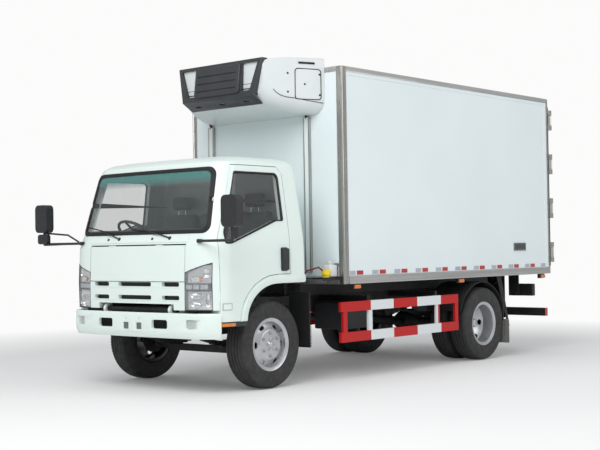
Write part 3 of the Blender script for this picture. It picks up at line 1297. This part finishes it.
def seats():
    """Driver's seat and double passenger seat on one low base."""
    base_z = TUNNEL_TOP_Z + TUNNEL_WALL + SEAT_GAP
    back_y = SEAT_FRONT_Y + SEAT_DEPTH
    top_z = base_z + SEAT_BASE_HEIGHT
    base = prism("seats", rounded((SEAT_FRONT_Y, base_z), (back_y, top_z), SEAT_ROUND), "X",
                 -SEAT_HALF, SEAT_HALF)
    backs = []
    for place in range(3):
        low = DRIVER_X + SEAT_PITCH * place - SEAT_WIDTH / 2
        outline = rounded((low, top_z - SEAT_ROUND), (low + SEAT_WIDTH, top_z + SEAT_BACK_HEIGHT), SEAT_ROUND)
        backs.append(prism("back", outline, "Y", back_y - SEAT_BACK_DEPTH, back_y + OVERRUN))
    return paint(join(base, *backs), GREY_CLOTH, 0.9)


# Box body

def box_floor():
    """Insulated floor slab on two runners that sit on the frame rails."""
    top_z = BOX_BOTTOM_Z + FLOOR_THICKNESS
    inner = BOX_HALF - WALL - SEAT_GAP
    front_y = BOX_FRONT_Y + WALL + SEAT_GAP
    rear_y = BOX_REAR_Y - REAR_FRAME_DEPTH - SEAT_GAP
    floor = block("box_floor", (-inner, front_y, BOX_BOTTOM_Z), (inner, rear_y, top_z))
    runners = []
    for side in (-1, 1):
        x = RUNNER_HALF * side
        runners.append(block("runner", (x - RUNNER_WIDTH / 2, front_y, RAIL_TOP_Z + SEAT_GAP),
                             (x + RUNNER_WIDTH / 2, RAIL_REAR_Y - OVERRUN, BOX_BOTTOM_Z + WELD)))
    return paint(join(floor, *runners), DARK_STEEL, 0.6)


def box_wall():
    """Left wall with its grooved bottom rail and top rail."""
    inner = BOX_HALF - WALL
    front_y = BOX_FRONT_Y + WALL + SEAT_GAP
    rear_y = BOX_REAR_Y - REAR_FRAME_DEPTH - SEAT_GAP
    face = BOX_HALF - EDGE_PROUD
    roof_z = BOX_TOP_Z - ROOF_THICKNESS - SEAT_GAP
    outline = ((inner, BOX_BOTTOM_Z), (BOX_HALF, BOX_BOTTOM_Z), (BOX_HALF, BOX_BOTTOM_Z + EDGE_RAIL),
               (face, BOX_BOTTOM_Z + EDGE_RAIL), (face, roof_z), (inner, roof_z))
    return paint(prism("box_wall_left", outline, "Y", front_y, rear_y), BOX_WHITE, 0.3)


def box_front():
    """Front wall with two flat conduits on its face."""
    wall = block("box_wall_front", (-BOX_HALF, BOX_FRONT_Y, BOX_BOTTOM_Z),
                 (BOX_HALF, BOX_FRONT_Y + WALL, BOX_TOP_Z - ROOF_THICKNESS - SEAT_GAP))
    conduits = []
    for x in (CONDUIT_X, RIGHT_CONDUIT_X):
        low = (x - CONDUIT_WIDTH / 2, BOX_FRONT_Y - CONDUIT_DEPTH, CONDUIT_BOTTOM_Z)
        conduits.append(block("conduit", low, (x + CONDUIT_WIDTH / 2, BOX_FRONT_Y + WELD, CONDUIT_TOP_Z)))
    return paint(join(wall, *conduits), BOX_WHITE, 0.3)


def box_roof():
    """Roof panel with chamfered edges, over the walls."""
    low_z = BOX_TOP_Z - ROOF_THICKNESS
    return paint(prism("box_roof", (
        (-BOX_HALF, low_z), (BOX_HALF, low_z), (BOX_HALF, BOX_TOP_Z - ROOF_CHAMFER),
        (BOX_HALF - ROOF_CHAMFER, BOX_TOP_Z), (-BOX_HALF + ROOF_CHAMFER, BOX_TOP_Z),
        (-BOX_HALF, BOX_TOP_Z - ROOF_CHAMFER),
    ), "Y", BOX_FRONT_Y, BOX_REAR_Y - REAR_FRAME_DEPTH - SEAT_GAP), BOX_WHITE, 0.3)


def hinge_heights():
    """Middle height of each rear door hinge."""
    low = BOX_BOTTOM_Z + REAR_HEADER * 3
    high = BOX_TOP_Z - REAR_HEADER * 3
    return [low + (high - low) * i / (HINGE_COUNT - 1) for i in range(HINGE_COUNT)]


def rear_frame():
    """Rear portal that the doors close into, with the fixed half of each hinge."""
    front_y = BOX_REAR_Y - REAR_FRAME_DEPTH
    portal = block("box_rear_frame", (-BOX_HALF, front_y, BOX_BOTTOM_Z), (BOX_HALF, BOX_REAR_Y, BOX_TOP_Z))
    inner = BOX_HALF - REAR_POST_WIDTH
    cut(portal, block("opening", (-inner, front_y - OVERRUN, BOX_BOTTOM_Z + REAR_HEADER),
                      (inner, BOX_REAR_Y + OVERRUN, BOX_TOP_Z - REAR_HEADER)))
    for z in hinge_heights():
        for side in (-1, 1):
            x = sorted(((BOX_HALF - REAR_POST_WIDTH / 2) * side, (HINGE_X + HINGE_RADIUS) * side))
            for end in (-1, 1):
                low, high = sorted((z + end * HINGE_HEIGHT / 2, z + end * HINGE_HEIGHT))
                join(portal, block("bracket", (x[0], BOX_REAR_Y - WELD, low),
                                   (x[1], HINGE_Y + HINGE_RADIUS, high)))
    return paint(portal, STAINLESS, 0.35, 0.9)


def rear_door():
    """Left rear door: insulated leaf, hinge straps to the pins, and a lock bar with its lever."""
    clear = DOOR_GAP
    low_z = BOX_BOTTOM_Z + REAR_HEADER + clear
    high_z = BOX_TOP_Z - REAR_HEADER - clear
    outer_x = BOX_HALF - REAR_POST_WIDTH - clear
    leaf = block("rear_door_left", (DOOR_LEAF_GAP, BOX_REAR_Y - DOOR_LEAF, low_z),
                 (outer_x, BOX_REAR_Y, high_z))
    pieces = []
    half = HINGE_HEIGHT / 2 - PIN_GAP
    step_y = BOX_REAR_Y + DOOR_GAP
    face_y = step_y + STRAP_THICKNESS
    bend_x = HINGE_X - HINGE_RADIUS * 2
    strap = (
        (HINGE_X - STRAP_LENGTH, BOX_REAR_Y - WELD), (outer_x - DOOR_GAP, BOX_REAR_Y - WELD),
        (outer_x - DOOR_GAP, step_y), (bend_x, step_y), (HINGE_X, HINGE_Y - HINGE_RADIUS / 2),
        (HINGE_X, HINGE_Y + HINGE_RADIUS / 2), (bend_x, face_y), (HINGE_X - STRAP_LENGTH, face_y),
    )
    for z in hinge_heights():
        pieces.append(prism("strap", strap, "Z", z - half, z + half))
        pieces.append(bar("knuckle", (HINGE_X, HINGE_Y, z - half), (HINGE_X, HINGE_Y, z + half),
                          HINGE_RADIUS))
    bar_y = BOX_REAR_Y + LOCK_BAR_OFF
    bar_x = DOOR_LEAF_GAP + LOCK_BAR_FROM_MIDDLE
    pieces.append(bar("lock_bar", (bar_x, bar_y, low_z - REAR_HEADER / 2),
                      (bar_x, bar_y, high_z + REAR_HEADER / 2), LOCK_BAR_RADIUS))
    guide = LOCK_BAR_RADIUS * 2
    for share in LOCK_GUIDE_SHARES:
        z = low_z + (high_z - low_z) * share
        pieces.append(block("guide", (bar_x - guide, BOX_REAR_Y - WELD, z - guide),
                            (bar_x + guide, bar_y, z + guide)))
    lever_z = low_z + (high_z - low_z) * LOCK_LEVER_SHARE
    pieces.append(block("lever", (bar_x, bar_y - LOCK_BAR_RADIUS / 2, lever_z - LOCK_BAR_RADIUS),
                        (bar_x + LOCK_LEVER_LENGTH, bar_y + LOCK_BAR_RADIUS / 2, lever_z + LOCK_BAR_RADIUS)))
    return paint(join(leaf, *pieces), BOX_WHITE, 0.3)


def unit_ring(row):
    """One section of the refrigeration unit: square shoulders above and round corners below."""
    y, half, low_z, high_z = row
    round_size = min(UNIT_ROUND, (high_z - low_z) / 2)
    side = [(half - UNIT_SHOULDER, high_z), (half, high_z - UNIT_SHOULDER)]
    steps = 5
    for i in range(steps + 1):
        angle = math.pi / 2 * i / steps
        side.append((half - round_size * (1 - math.cos(angle)),
                     low_z + round_size * (1 - math.sin(angle))))
    left = [(x, y, z) for x, z in side]
    right = [(-x, y, z) for x, z in reversed(side)]
    return left + right


def unit_housing():
    """White housing of the refrigeration unit, behind its black grille."""
    return paint(smooth(skin("unit_housing", [unit_ring(row) for row in UNIT_ROWS])), BOX_WHITE, 0.25)


def unit_grille():
    """Black front of the unit: a raised grooved panel between two louvred openings."""
    _, _, low_z, top_z = UNIT_ROWS[0]
    rear_y = UNIT_FRONT_Y - SEAT_GAP
    front_y = UNIT_GRILLE_FRONT_Y
    lean = UNIT_FRONT_Y - front_y
    grille_body = skin("unit_grille", [
        [(-UNIT_GRILLE_LOW_HALF, front_y, low_z), (UNIT_GRILLE_LOW_HALF, front_y, low_z),
         (UNIT_GRILLE_HALF, rear_y, low_z), (-UNIT_GRILLE_HALF, rear_y, low_z)],
        [(-UNIT_GRILLE_HALF, front_y + lean / 2, top_z), (UNIT_GRILLE_HALF, front_y + lean / 2, top_z),
         (UNIT_GRILLE_HALF, rear_y, top_z), (-UNIT_GRILLE_HALF, rear_y, top_z)],
    ])
    height = top_z - low_z
    tools = []
    for side in (-1, 1):
        low_x, high_x = sorted((UNIT_PANEL_HALF * side, (UNIT_GRILLE_LOW_HALF - OVERRUN) * side))
        tools.append(block("opening", (low_x, front_y - OVERRUN, low_z + height * 0.15),
                           (high_x, rear_y - lean / 4, top_z - height * 0.1)))
    cut(grille_body, *tools)
    return paint(grille_body, BLACK, 0.4)


def evaporator():
    """Air outlet housing inside the box, high on the front wall."""
    front_y = BOX_FRONT_Y + WALL + SEAT_GAP
    high_z = BOX_TOP_Z - ROOF_THICKNESS - SEAT_GAP
    low_z = high_z - EVAPORATOR_HEIGHT
    outline = ((front_y, low_z), (front_y, high_z), (front_y + EVAPORATOR_DEPTH, high_z),
               (front_y + EVAPORATOR_DEPTH, high_z - EVAPORATOR_HEIGHT / 2),
               (front_y + EVAPORATOR_DEPTH * 0.8, low_z))
    return paint(prism("evaporator", outline, "X", -EVAPORATOR_WIDTH / 2, EVAPORATOR_WIDTH / 2),
                 BOX_WHITE, 0.4)


# Guards

def side_guard():
    """Left side guard: two rails and four posts in front of hangers from the frame."""
    low_x, high_x = GUARD_X - GUARD_THICKNESS, GUARD_X
    guard = block("side_guard_left", (low_x, GUARD_FRONT_Y, GUARD_BOTTOM_Z),
                  (high_x, GUARD_REAR_Y, GUARD_BOTTOM_Z + GUARD_RAIL))
    pieces = [block("rail", (low_x, GUARD_FRONT_Y, GUARD_TOP_Z - GUARD_RAIL),
                    (high_x, GUARD_REAR_Y, GUARD_TOP_Z))]
    length = GUARD_REAR_Y - GUARD_FRONT_Y
    for share in GUARD_POST_SHARES:
        y = GUARD_FRONT_Y + length * share
        half = GUARD_POST_WIDTH / 2
        pieces.append(block("post", (low_x + WELD / 2, y - half, GUARD_BOTTOM_Z + WELD),
                            (high_x - WELD / 2, y + half, GUARD_TOP_Z - WELD)))
    for share in GUARD_HANGER_SHARES:
        y = GUARD_FRONT_Y + length * share
        half = GUARD_POST_WIDTH / 3
        pieces.append(block("drop", (low_x - WELD, y - half, GUARD_TOP_Z - GUARD_RAIL),
                            (low_x + WELD, y + half, RAIL_TOP_Z)))
        pieces.append(block("hanger", (RAIL_HALF + SEAT_GAP, y - half, RAIL_TOP_Z - GUARD_POST_WIDTH),
                            (low_x + WELD, y + half, RAIL_TOP_Z - WELD)))
    return join(guard, *pieces)


def front_mudguard():
    """Left front mudguard behind the wheel, with its flap, on a stay from the rail."""
    low_x, high_x = FRONT_TYRE_X - TYRE_HALF_WIDTH, FRONT_TYRE_X + FRONT_MUDGUARD_OUT
    wall = MUDGUARD_WALL * 2
    guard = block("front_mudguard_left", (low_x, FRONT_MUDGUARD_Y, FRONT_FLAP_BOTTOM_Z),
                  (high_x, FRONT_MUDGUARD_Y + wall, FRONT_MUDGUARD_TOP_Z))
    stay_y = FRONT_MUDGUARD_Y + wall / 2
    stay = bar("stay", (RAIL_HALF + SEAT_GAP, stay_y, FRONT_STAY_Z), (low_x + WELD, stay_y, FRONT_STAY_Z),
               STAY_RADIUS)
    return join(guard, stay)


def rear_mudguard():
    """Left rear mudguard: a curved sheet over the tyres with a flap behind, on a stay."""
    inner_x, outer_x = REAR_INNER_X - TYRE_HALF_WIDTH, REAR_OUTER_X + REAR_MUDGUARD_OUT
    outer = []
    inner = []
    steps = 8
    for i in range(steps + 1):
        angle = MUDGUARD_START + MUDGUARD_SWEEP * i / steps
        for ring, radius in ((outer, MUDGUARD_RADIUS), (inner, MUDGUARD_RADIUS - MUDGUARD_WALL)):
            ring.append((WHEELBASE + radius * math.cos(angle), AXLE_Z + radius * math.sin(angle)))
    sheet = prism("rear_mudguard_left", outer + inner[::-1], "X", inner_x, outer_x)
    flap_y = outer[0][0]
    flap = block("flap", (inner_x, flap_y - MUDGUARD_WALL * 2, REAR_FLAP_BOTTOM_Z),
                 (outer_x, flap_y, outer[0][1] + WELD))
    stay_z = RAIL_TOP_Z - STAY_RADIUS * 2
    stay_y = WHEELBASE + math.sqrt((MUDGUARD_RADIUS - MUDGUARD_WALL / 2) ** 2 - (stay_z - AXLE_Z) ** 2)
    stay = bar("stay", (RAIL_HALF + SEAT_GAP, stay_y, stay_z), (inner_x + OVERRUN * 2, stay_y, stay_z),
               STAY_RADIUS)
    return join(sheet, flap, stay)


def underrun_bar():
    """Rear under-run bar on two brackets from the rails."""
    middle_z = UNDERRUN_BOTTOM_Z + UNDERRUN_HEIGHT / 2
    beam = block("underrun_bar", (-UNDERRUN_HALF, UNDERRUN_Y - UNDERRUN_DEPTH / 2, UNDERRUN_BOTTOM_Z),
                 (UNDERRUN_HALF, UNDERRUN_Y + UNDERRUN_DEPTH / 2, UNDERRUN_BOTTOM_Z + UNDERRUN_HEIGHT))
    rear_y = RAIL_REAR_Y - UNDERRUN_BRACKET_WALL
    front_y = rear_y - UNDERRUN_BRACKET_LENGTH
    top_z = RAIL_TOP_Z - UNDERRUN_BRACKET_WALL
    tip = UNDERRUN_BRACKET_TIP / 2
    outline = ((front_y, top_z), (rear_y, top_z), (UNDERRUN_Y + tip, middle_z), (UNDERRUN_Y - tip, middle_z),
               (front_y, RAIL_BOTTOM_Z))
    pieces = []
    for side in (-1, 1):
        x = sorted(((RAIL_HALF + SEAT_GAP) * side, (RAIL_HALF + UNDERRUN_BRACKET_WALL) * side))
        pieces.append(prism("bracket", outline, "X", x[0], x[1]))
    return paint(join(beam, *pieces), BLACK, 0.5)


# Assembly

def add_empty(name, location, parent=None):
    """A joint's pivot. Its place is given from the ground and the front axle."""
    empty = bpy.data.objects.new(name, None)
    bpy.context.scene.collection.objects.link(empty)
    empty.empty_display_size = TYRE_RADIUS / 4
    if parent is None:
        empty.location = (0, -MIDDLE_Y, 0)
        empty["pivot"] = (0.0, 0.0, 0.0)
        return empty
    empty.parent = parent
    empty["pivot"] = location
    empty.location = Vector(location) - Vector(parent["pivot"])
    return empty


def carry(empty, *pieces):
    """Hang pieces on a pivot, with their meshes drawn from that pivot."""
    for piece in pieces:
        piece.data.transform(Matrix.Translation(-Vector(empty["pivot"])))
        piece.parent = empty


def pair(left, colour, roughness=0.5, metallic=0.0, alpha=1.0):
    """Paint a left-hand piece and make its right-hand twin."""
    right = mirrored(left, left.name.replace("left", "right"))
    for piece in (left, right):
        paint(piece, colour, roughness, metallic, alpha)
    return left, right


def build():
    for obj in list(bpy.data.objects):
        bpy.data.objects.remove(obj)

    truck = add_empty("truck_pivot", (0, 0, 0))
    carry(truck, ladder_frame(), engine_block(), front_axle(), rear_axle(), fuel_tank(), battery_box(),
          bumper(), underrun_bar())
    carry(truck, *pair(side_guard(), RED, 0.4))
    carry(truck, *pair(front_mudguard(), BLACK, 0.7))
    carry(truck, *pair(rear_mudguard(), BLACK, 0.7))
    carry(truck, box_floor(), box_front(), box_roof(), rear_frame(), evaporator(), unit_housing(),
          unit_grille())
    carry(truck, *pair(box_wall(), BOX_WHITE, 0.3))

    for side, door in zip((1, -1), pair(rear_door(), BOX_WHITE, 0.3)):
        pivot = add_empty(door.name + "_pivot", (HINGE_X * side, HINGE_Y, 0.0), truck)
        carry(pivot, door)

    cab = add_empty("cab_pivot", (0.0, PIVOT_Y, PIVOT_Z), truck)
    carry(cab, cab_shell(), windscreen(), grille(), dashboard(), seats(), wipers())
    carry(cab, *pair(headlamp(), LAMP_CLEAR, 0.08, 0.2))
    carry(cab, *pair(mirror(), BLACK, 0.4))
    doors = pair(cab_door(), WHITE, 0.25)
    panes = pair(door_glass(), GLASS, 0.05, 0.0, 0.35)
    for side, door, pane in zip((1, -1), doors, panes):
        pivot = add_empty(door.name + "_pivot", (DOOR_HINGE_X * side, DOOR_HINGE_Y, DOOR_BOTTOM_Z), cab)
        carry(pivot, door, pane)
    lid = add_empty("front_lid_pivot", (0.0, lid_hinge_y(), LID_TOP_Z), cab)
    carry(lid, front_lid())

    knuckles = pair(knuckle(), DARK_STEEL, 0.5, 0.5)
    rims = pair(front_rim("front_rim_left"), SILVER, 0.35, 0.8)
    tyres = pair(turned("front_tyre_left", tyre_profile(FRONT_TYRE_X), 0, AXLE_Z, ring=True), RUBBER, 0.85)
    for side, piece, rim, tread in zip((1, -1), knuckles, rims, tyres):
        steer = add_empty(piece.name + "_pivot", (KINGPIN_X * side, 0.0, AXLE_Z), truck)
        carry(steer, piece)
        spin = add_empty(rim.name + "_pivot", (FRONT_TYRE_X * side, 0.0, AXLE_Z), steer)
        carry(spin, smooth(rim), smooth(tread))
        if side == 1:
            rod = add_empty("track_rod_pivot", (KINGPIN_X, STEER_ARM_LENGTH, rod_z()), steer)
            carry(rod, track_rod())

    rims = pair(rear_rims("rear_rims_left"), SILVER, 0.35, 0.8)
    outers = pair(turned("rear_outer_tyre_left", tyre_profile(REAR_OUTER_X), WHEELBASE, AXLE_Z, ring=True),
                  RUBBER, 0.85)
    inners = pair(turned("rear_inner_tyre_left", tyre_profile(REAR_INNER_X), WHEELBASE, AXLE_Z, ring=True),
                  RUBBER, 0.85)
    for side, rim, outer, inner in zip((1, -1), rims, outers, inners):
        spin = add_empty(rim.name + "_pivot", (REAR_DISC_X * side, WHEELBASE, AXLE_Z), truck)
        carry(spin, smooth(rim), smooth(outer), smooth(inner))
    bpy.context.view_layer.update()


build()
